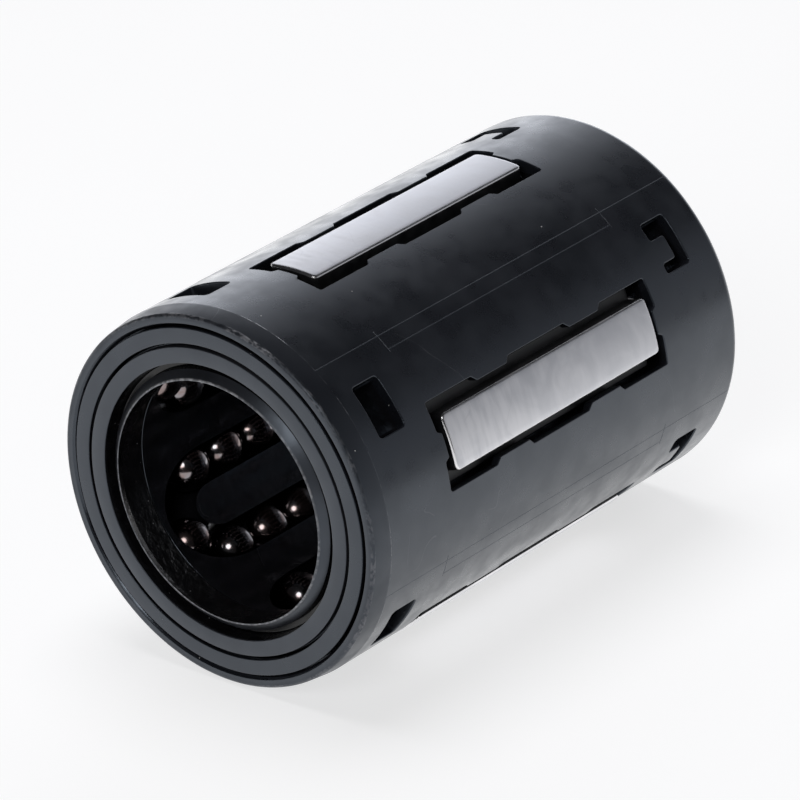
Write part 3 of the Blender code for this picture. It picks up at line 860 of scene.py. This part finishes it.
def make_balls(material):
    """Every ball of every circuit: the loaded row, the return row and three round each turn."""
    row = [Vector(((step - (ROW_BALLS - 1) / 2) * BALL_PITCH, 0.0, 0.0)) for step in range(ROW_BALLS)]
    turn_balls = [round_turn(angle) for angle in TURN_BALL_ANGLES]
    half_turn = Matrix.Rotation(math.pi, 4, "Z")
    for index in range(CIRCUITS):
        number = index + 1
        loaded = circuit_turn(index) @ Matrix.Translation((0.0, 0.0, LOADED_RADIUS))
        for step, centre in enumerate(row):
            name = f"ball_{number}_{step + 1}"
            place = loaded @ Matrix.Translation(centre)
            node = f"loaded_ball_{number}_{step + 1}"
            add_balls(name, [Vector()], material, place, f"loaded_row_{number}", node)
        returning = circuit_turn(index) @ Matrix.Rotation(RETURN_ANGLE, 4, "X")
        place = returning @ Matrix.Translation((0.0, 0.0, RETURN_RADIUS))
        name = f"returning_balls_{number}"
        add_balls(name, row, material, place, f"return_row_{number}", f"return_balls_{number}")
        middle = circuit_turn(index) @ Matrix.Rotation(RETURN_ANGLE / 2, 4, "X")
        for side, end, facing in (("front", -1, Matrix()), ("rear", 1, half_turn)):
            centre = Matrix.Translation((end * TRACK_HALF_LENGTH, 0.0, TURN_HEIGHT))
            name = f"{side}_turning_balls_{number}"
            node = f"{side}_turn_balls_{number}"
            place = middle @ centre @ facing
            add_balls(name, turn_balls, material, place, f"{side}_turn_{number}", node)


def feed(tree, node, inputs):
    """Feed a node's inputs with plain values or with other nodes' outputs."""
    for key, value in inputs.items():
        if isinstance(value, bpy.types.NodeSocket):
            tree.links.new(value, node.inputs[key])
        else:
            node.inputs[key].default_value = value


def add_node(tree, kind, inputs, **options):
    """Add a shader node, feed its inputs and return its outputs."""
    made = tree.nodes.new("ShaderNode" + kind)
    for option, value in options.items():
        setattr(made, option, value)
    feed(tree, made, inputs)
    return made.outputs


def new_material(name):
    """A material, its node tree and the place on the piece, by which its patterns are laid out."""
    material = bpy.data.materials.new(name)
    material.use_nodes = True
    tree = material.node_tree
    return material, tree, add_node(tree, "TexCoord", {})["Object"]


def finished(material, inputs):
    """The material, with its surface fed."""
    tree = material.node_tree
    feed(tree, tree.nodes["Principled BSDF"], inputs)
    return material


def noise(tree, place, scale, detail=2.0, distortion=0.0):
    inputs = {"Vector": place, "Scale": scale, "Detail": detail, "Distortion": distortion}
    return add_node(tree, "TexNoise", inputs)[0]


def remap(tree, value, low, high, start=0.0, end=1.0):
    """A smooth step from one value to another while the input goes from low to high."""
    inputs = {"Value": value, "From Min": low, "From Max": high, "To Min": start, "To Max": end}
    return add_node(tree, "MapRange", inputs, interpolation_type="SMOOTHSTEP")[0]


def spread(tree, value, start=0.0, end=1.0):
    """Spread the narrow range of a noise over a full one."""
    return remap(tree, value, NOISE_LOW, NOISE_HIGH, start, end)


def fade(tree, value, low, high):
    """One while the input is low, falling smoothly to nothing when it is high."""
    return remap(tree, value, low, high, 1.0, 0.0)


def calculate(tree, operation, first, second=0.0):
    return add_node(tree, "Math", {0: first, 1: second}, operation=operation)[0]


def product(tree, first, *others):
    for other in others:
        first = calculate(tree, "MULTIPLY", first, other)
    return first


def mix_numbers(tree, factor, first, second):
    return add_node(tree, "Mix", {0: factor, 2: first, 3: second}, data_type="FLOAT")[0]


def mix_colours(tree, factor, first, second):
    """Mix two colours, each a node's output or a plain (red, green, blue)."""
    inputs = {0: factor}
    for socket, colour in ((6, first), (7, second)):
        inputs[socket] = colour if isinstance(colour, bpy.types.NodeSocket) else (*colour, 1.0)
    return add_node(tree, "Mix", inputs, data_type="RGBA")[2]


def coordinate(tree, place, axis):
    return add_node(tree, "SeparateXYZ", {0: place})[axis]


def stretched(tree, place, stretch):
    return add_node(tree, "VectorMath", {0: place, 1: stretch}, operation="MULTIPLY")[0]


def distance_towards(tree, place, direction):
    """How far a place lies in a direction."""
    return add_node(tree, "VectorMath", {0: place, 1: direction}, operation="DOT_PRODUCT")["Value"]


def axis_distance(tree, place):
    """How far a place lies from the shaft's axis."""
    flat = stretched(tree, place, (0.0, 1.0, 1.0))
    return add_node(tree, "VectorMath", {0: flat}, operation="LENGTH")["Value"]


def bump(tree, height, distance, normal=None):
    """Relief of a pattern, on top of the relief that a normal already has."""
    inputs = {"Height": height, "Distance": distance}
    if normal is not None:
        inputs["Normal"] = normal
    return add_node(tree, "Bump", inputs)[0]


def thin_line(tree, value, middle, width):
    """One where a value is at its middle, falling to nothing half a width to each side."""
    off = calculate(tree, "ABSOLUTE", calculate(tree, "SUBTRACT", value, middle))
    return fade(tree, off, 0.0, width / 2)


def hairlines(tree, place, scale, width, cover):
    """Sparse thin scratches: the contour of a slow noise, where a second noise lets it show."""
    contour = noise(tree, place, scale, distortion=HAIRLINE_WANDER)
    gaps = noise(tree, place, scale * HAIRLINE_GAP_SCALE)
    shown = remap(tree, gaps, cover, cover + HAIRLINE_GAP_EDGE)
    return product(tree, thin_line(tree, contour, NOISE_MIDDLE, width), shown)


def specks(tree, place, scale, core, rim):
    """Scattered round specks, full in their core and gone at their rim."""
    distance = add_node(tree, "TexVoronoi", {"Vector": place, "Scale": scale})["Distance"]
    return fade(tree, distance, core, rim)


def front_end_wear_and_highlight(tree, place, x, radius):
    """The scuffed edges of the cage's front end, pale partly from wear and partly as a painted highlight,
    and the dull band that they bound.
    """
    forward = product(tree, x, -1.0)
    outside = remap(tree, radius, WEAR_RADIUS_START, WEAR_RADIUS_END)
    edges = calculate(
        tree, "MAXIMUM",
        thin_line(tree, forward, TAPER_START, TAPER_SCUFF_WIDTH),
        thin_line(tree, calculate(tree, "ADD", forward, radius), END_CORNER_SUM, CORNER_SCUFF_WIDTH),
    )
    grit = noise(tree, stretched(tree, place, SCUFF_STRETCH), scale=3600.0, detail=5.0)
    grit = remap(tree, grit, low=0.40, high=0.60)
    worn = remap(tree, noise(tree, place, scale=420.0), low=0.40, high=0.60, start=0.15)
    band = remap(tree, forward, TAPER_START, TAPER_START + END_BAND_FADE)
    return product(tree, edges, outside, grit, worn), product(tree, band, outside)


def make_plastic():
    """Black moulded plastic: satin and faintly dusty outside, oily where the balls run, and painted a little
    darker there as shade.
    """
    material, tree, place = new_material("cage_plastic_finish")
    x = coordinate(tree, place, 0)
    radius = axis_distance(tree, place)
    below_barrel = fade(tree, radius, OILY_RADIUS, DRY_RADIUS)
    below_face = fade(tree, calculate(tree, "ABSOLUTE", x), OILY_REACH, DRY_REACH)
    inside = product(tree, below_barrel, below_face)
    scuffs_and_highlight, end_band = front_end_wear_and_highlight(tree, place, x, radius)
    dust = specks(tree, place, scale=760.0, core=0.018, rim=0.034)

    cloud = noise(tree, place, scale=230.0, detail=3.0)
    colour = mix_colours(tree, spread(tree, cloud), *PLASTIC_COLOURS)
    # Painted shade: the inner surfaces a little darker; their gloss and ripple are the oil
    colour = mix_colours(tree, inside, colour, OILY_SHADED_COLOUR)
    scratches = hairlines(tree, place, scale=150.0, width=0.0044, cover=0.60)
    scratches = product(tree, scratches, SCRATCH_STRENGTH)
    # Pale scratches and front-end scuffs; the scuffs are partly wear and partly a painted highlight on the
    # front edges
    pale = calculate(tree, "MAXIMUM", scratches, product(tree, scuffs_and_highlight, SCUFF_AND_HIGHLIGHT_STRENGTH))
    colour = mix_colours(tree, pale, colour, WORN_AND_HIGHLIGHT_COLOUR)
    colour = mix_colours(tree, product(tree, dust, DUST_STRENGTH), colour, DUST_COLOUR)

    satin = spread(tree, noise(tree, place, scale=700.0, detail=5.0), *SATIN_ROUGHNESS)
    satin = calculate(tree, "ADD", satin, product(tree, end_band, END_BAND_DULLNESS))
    oily = spread(tree, noise(tree, place, scale=900.0), *OILY_ROUGHNESS)
    roughness = mix_numbers(tree, inside, satin, oily)
    roughness = calculate(tree, "ADD", roughness, product(tree, dust, DUST_DULLNESS))

    grain = bump(tree, noise(tree, place, scale=11000.0), GRAIN_HEIGHT)
    ripple = bump(tree, noise(tree, place, scale=420.0), RIPPLE_HEIGHT, grain)
    wet = product(tree, noise(tree, place, scale=1500.0, detail=3.0), inside)
    oil = bump(tree, wet, OIL_HEIGHT, ripple)
    raised = calculate(tree, "MAXIMUM", dust, product(tree, scuffs_and_highlight, SCUFF_RELIEF))
    return finished(material, {
        "Base Color": colour,
        "Roughness": roughness,
        "Normal": bump(tree, raised, DUST_HEIGHT, oil),
        "IOR": PLASTIC_IOR,
        "Specular Tint": PLASTIC_BLUE_REFLECTION_TINT,
    })


def make_rubber():
    """The seals' rubber: a little smoother than the cage, with a ragged pale edge round the lip that is
    partly wear and partly a painted highlight.
    """
    material, tree, place = new_material("seal_rubber_finish")
    along = calculate(tree, "ABSOLUTE", coordinate(tree, place, 0))
    depth = calculate(tree, "SUBTRACT", HALF_LENGTH, along)
    ragged = noise(tree, place, scale=4200.0, detail=4.0)
    worn = noise(tree, place, scale=380.0)
    # Pale ragged edge round the lip: partly wear, partly a painted highlight
    frost_and_highlight = product(
        tree,
        fade(tree, depth, 0.0, FROST_DEPTH),
        fade(tree, axis_distance(tree, place), FROST_INNER, FROST_OUTER),
        remap(tree, ragged, low=0.42, high=0.62, start=0.3),
        remap(tree, worn, low=0.40, high=0.60, start=0.5),
    )
    cloud = noise(tree, place, scale=300.0, detail=3.0)
    colour = mix_colours(tree, spread(tree, cloud), *RUBBER_COLOURS)
    dull = noise(tree, place, scale=800.0, detail=3.0)
    grain = bump(tree, noise(tree, place, scale=9000.0), RUBBER_GRAIN_HEIGHT)
    return finished(material, {
        "Base Color": mix_colours(tree, frost_and_highlight, colour, FROST_AND_HIGHLIGHT_COLOUR),
        "Roughness": spread(tree, dull, *RUBBER_ROUGHNESS),
        "Normal": bump(tree, frost_and_highlight, FROST_HEIGHT, grain),
        "IOR": PLASTIC_IOR,
        "Specular Tint": PLASTIC_BLUE_REFLECTION_TINT,
    })


def make_throat_rubber():
    """The rubber inside a seal's lip and in the groove round it: painted near black as shade, flecked with
    painted glints, with an oily film and grease where it gathers.
    """
    material, tree, place = new_material("seal_throat_painted_shade")
    wet = noise(tree, place, scale=1200.0)
    # Painted shade in the throat and groove, with painted glints over it
    colour = mix_colours(tree, spread(tree, wet), *THROAT_SHADE_COLOURS)
    glints = specks(tree, place, scale=1500.0, core=0.03, rim=0.07)
    low_side = remap(tree, distance_towards(tree, place, GREASE_TOWARDS), GREASE_START, GREASE_END)
    grease = product(tree, noise(tree, place, scale=2600.0, detail=4.0), low_side)
    film = bump(tree, wet, FILM_HEIGHT)
    return finished(material, {
        "Base Color": mix_colours(tree, product(tree, glints, GLINT_STRENGTH), colour, GLINT_COLOUR),
        "Roughness": spread(tree, wet, *THROAT_ROUGHNESS),
        "Normal": bump(tree, grease, GREASE_HEIGHT, film),
        "Specular IOR Level": THROAT_GLOSS,
    })


def make_plate_steel():
    """Ground steel: grinding marks across the plate, handling smudges along it, and painted light that
    brightens each plate towards its front end.
    """
    material, tree, place = new_material("plate_steel_finish")
    fine = noise(tree, stretched(tree, place, FINE_MARK_STRETCH), scale=9500.0, detail=3.0)
    wide = noise(tree, stretched(tree, place, WIDE_MARK_STRETCH), scale=2600.0)
    x = coordinate(tree, place, 0)
    marks_and_painted_light = remap(tree, x, -PLATE_HALF_LENGTH, MARKS_FADE_END, start=1.0, end=MARKS_LEFT)
    grinding = product(tree, calculate(tree, "SUBTRACT", wide, NOISE_MIDDLE), marks_and_painted_light)
    smudges = noise(tree, place, scale=420.0, detail=4.0, distortion=1.2)
    mottle = calculate(tree, "ADD", grinding, smudges)
    # Painted light: each plate lighter towards its front end
    tone_and_painted_light = calculate(tree, "ADD", mottle, product(tree, marks_and_painted_light, FRONT_PAINTED_LIGHT))
    colour = mix_colours(tree, remap(tree, tone_and_painted_light, low=0.35, high=0.95), *PLATE_COLOURS)
    wiped = hairlines(tree, place, scale=260.0, width=0.020, cover=0.54)
    normal = bump(tree, fine, FINE_MARK_HEIGHT)
    return finished(material, {
        "Base Color": mix_colours(tree, product(tree, wiped, WIPED_STRENGTH), colour, WIPED_COLOUR),
        "Roughness": remap(tree, mottle, NOISE_LOW, NOISE_TOP, *PLATE_ROUGHNESS),
        "Normal": bump(tree, product(tree, wide, marks_and_painted_light), WIDE_MARK_HEIGHT, normal),
        "Metallic": 1.0,
    })


def make_dark_steel():
    """The plates' hardened and blackened flanges and sides, which aren't ground; on the upright sides the
    dark colour is also painted shade.
    """
    material, tree, place = new_material("dark_steel_finish")
    crust = noise(tree, place, scale=1500.0, detail=4.0)
    return finished(material, {
        "Base Color": mix_colours(tree, remap(tree, crust, low=0.35, high=0.65), *DARK_STEEL_AND_SHADE_COLOURS),
        "Roughness": spread(tree, crust, *DARK_STEEL_ROUGHNESS),
        "Normal": bump(tree, crust, DARK_STEEL_HEIGHT),
    })


def make_bright_steel():
    """The plates' rounded edges, painted brighter than the crown as a highlight, and smoother."""
    material, tree, place = new_material("plate_edge_painted_highlight")
    rubbed = noise(tree, place, scale=700.0, detail=3.0)
    return finished(material, {
        "Base Color": mix_colours(tree, spread(tree, rubbed), *HIGHLIGHT_STEEL_COLOURS),
        "Roughness": spread(tree, rubbed, *BRIGHT_STEEL_ROUGHNESS),
        "Normal": bump(tree, rubbed, BRIGHT_STEEL_HEIGHT),
        "Metallic": 1.0,
    })


def make_ball_steel():
    """Polished steel under a thin uneven film of oil, its colour painted far darker than steel's as shade.
    """
    material, tree, place = new_material("ball_steel_finish")
    film = noise(tree, place, scale=900.0, detail=3.0, distortion=0.8)
    return finished(material, {
        "Base Color": mix_colours(tree, remap(tree, film, low=0.42, high=0.62), *BALL_OIL_AND_SHADE_COLOURS),
        "Roughness": remap(tree, film, NOISE_LOW, NOISE_TOP, *BALL_ROUGHNESS),
        "Normal": bump(tree, film, BALL_FILM_HEIGHT),
        "Metallic": 1.0,
    })


def make_paper():
    """Pale paper that shows white to the camera, glows in gloss with painted light behind the bearing and
    painted shade far in front of it, and still takes the shadow.
    """
    material, tree, place = new_material("floor_paper")
    weave = noise(tree, place, scale=60.0, detail=3.0)
    far = distance_towards(tree, place, FLOOR_FAR_TOWARDS)
    behind = distance_towards(tree, place, FLOOR_BACK_TOWARDS)
    # Painted light and shade seen only in gloss
    mirrored = calculate(
        tree, "ADD",
        remap(tree, far, FLOOR_FAR_START, FLOOR_FAR_END, start=FLOOR_GLOSS, end=0.0),
        remap(tree, behind, FLOOR_BACK_START, FLOOR_BACK_END),
    )
    seen = add_node(tree, "LightPath", {})
    gloss = calculate(tree, "MAXIMUM", seen["Is Glossy Ray"], seen["Is Transmission Ray"])
    glow = mix_numbers(tree, seen["Is Camera Ray"], product(tree, gloss, mirrored), FLOOR_GLOW)
    return finished(material, {
        "Base Color": mix_colours(tree, weave, *FLOOR_COLOURS),
        "Roughness": spread(tree, weave, *FLOOR_ROUGHNESS),
        "Specular IOR Level": 0.0,
        "Emission Color": FLOOR_GLOW_COLOUR,
        "Emission Strength": glow,
    })


def make_floor(material):
    """A square of paper under the bearing."""
    half = FLOOR_SIZE / 2
    corners = [(-half, -half), (half, -half), (half, half), (-half, half)]
    shape = bmesh.new()
    shape.faces.new([shape.verts.new((x, y, FLOOR_HEIGHT)) for x, y in corners])
    add_piece("floor", mesh_from("floor", shape), material)


def make_tent():
    """A dark room with a bright wall behind the bearing and a low dim one at its right."""
    world = bpy.data.worlds.new("light_tent")
    bpy.context.scene.world = world
    world.use_nodes = True
    tree = world.node_tree
    direction = add_node(tree, "TexCoord", {})["Generated"]
    towards_back = distance_towards(tree, direction, Vector(BACK_TOWARDS).normalized())
    inputs = {"Value": towards_back, "From Min": BACK_OUTER, "From Max": 1.0}
    nearness = add_node(tree, "MapRange", inputs)[0]
    back = product(tree, calculate(tree, "POWER", nearness, BACK_FALL), BACK_BRIGHT)
    height = coordinate(tree, direction, 2)
    low = remap(tree, height, math.sin(FRONT_LOW), math.sin(FRONT_HIGH), FRONT_BRIGHT, TENT_DARK)
    towards_front = distance_towards(tree, direction, Vector(FRONT_TOWARDS).normalized())
    front = product(tree, low, remap(tree, towards_front, FRONT_OUTER, FRONT_INNER))
    level = calculate(tree, "ADD", calculate(tree, "ADD", back, front), TENT_DARK)
    seen = add_node(tree, "LightPath", {})["Is Camera Ray"]
    strength = mix_numbers(tree, seen, level, SEEN_WHITE)
    feed(tree, tree.nodes["Background"], {"Strength": strength, "Color": TENT_COLOUR})


def make_lamp(name, place, size, power, in_gloss):
    """A round lamp that looks at the bearing, seen in glossy surfaces or not."""
    light = bpy.data.lights.new(name, "AREA")
    light.shape = "DISK"
    light.size = size
    light.energy = power
    lamp = bpy.data.objects.new(name, light)
    bpy.context.scene.collection.objects.link(lamp)
    lamp.location = place
    lamp.rotation_euler = (-Vector(place)).to_track_quat("-Z", "Y").to_euler()
    lamp.visible_glossy = in_gloss


def make_camera():
    """The photograph's camera."""
    camera_data = bpy.data.cameras.new("camera")
    camera_data.sensor_width = CAMERA_SENSOR
    camera_data.lens = CAMERA_LENS
    camera_data.clip_start = CAMERA_DISTANCE / CLIP_RATIO
    camera_data.clip_end = CAMERA_DISTANCE * CLIP_RATIO
    camera = bpy.data.objects.new("camera", camera_data)
    bpy.context.scene.collection.objects.link(camera)
    facing = Matrix.Rotation(-CAMERA_HEADING, 4, "Z") @ Matrix.Rotation(math.pi / 2 - CAMERA_TILT, 4, "X")
    back_off = Matrix.Translation((0.0, 0.0, CAMERA_DISTANCE))
    roll = Matrix.Rotation(CAMERA_ROLL, 4, "Z")
    camera.matrix_world = Matrix.Translation(CAMERA_AIM) @ facing @ roll @ back_off
    bpy.context.scene.camera = camera


plastic = make_plastic()
make_cage(plastic)
make_witness_lines(plastic)
make_seals(make_rubber(), make_throat_rubber())
make_plates(make_plate_steel(), make_dark_steel(), make_bright_steel())
make_balls(make_ball_steel())
make_floor(make_paper())
make_tent()
make_lamp("overhead", OVERHEAD_PLACE, OVERHEAD_SIZE, OVERHEAD_POWER, in_gloss=False)
make_lamp("softbox", SOFTBOX_PLACE, SOFTBOX_SIZE, SOFTBOX_POWER, in_gloss=True)
make_camera()
bpy.context.scene.view_settings.view_transform = "Standard"
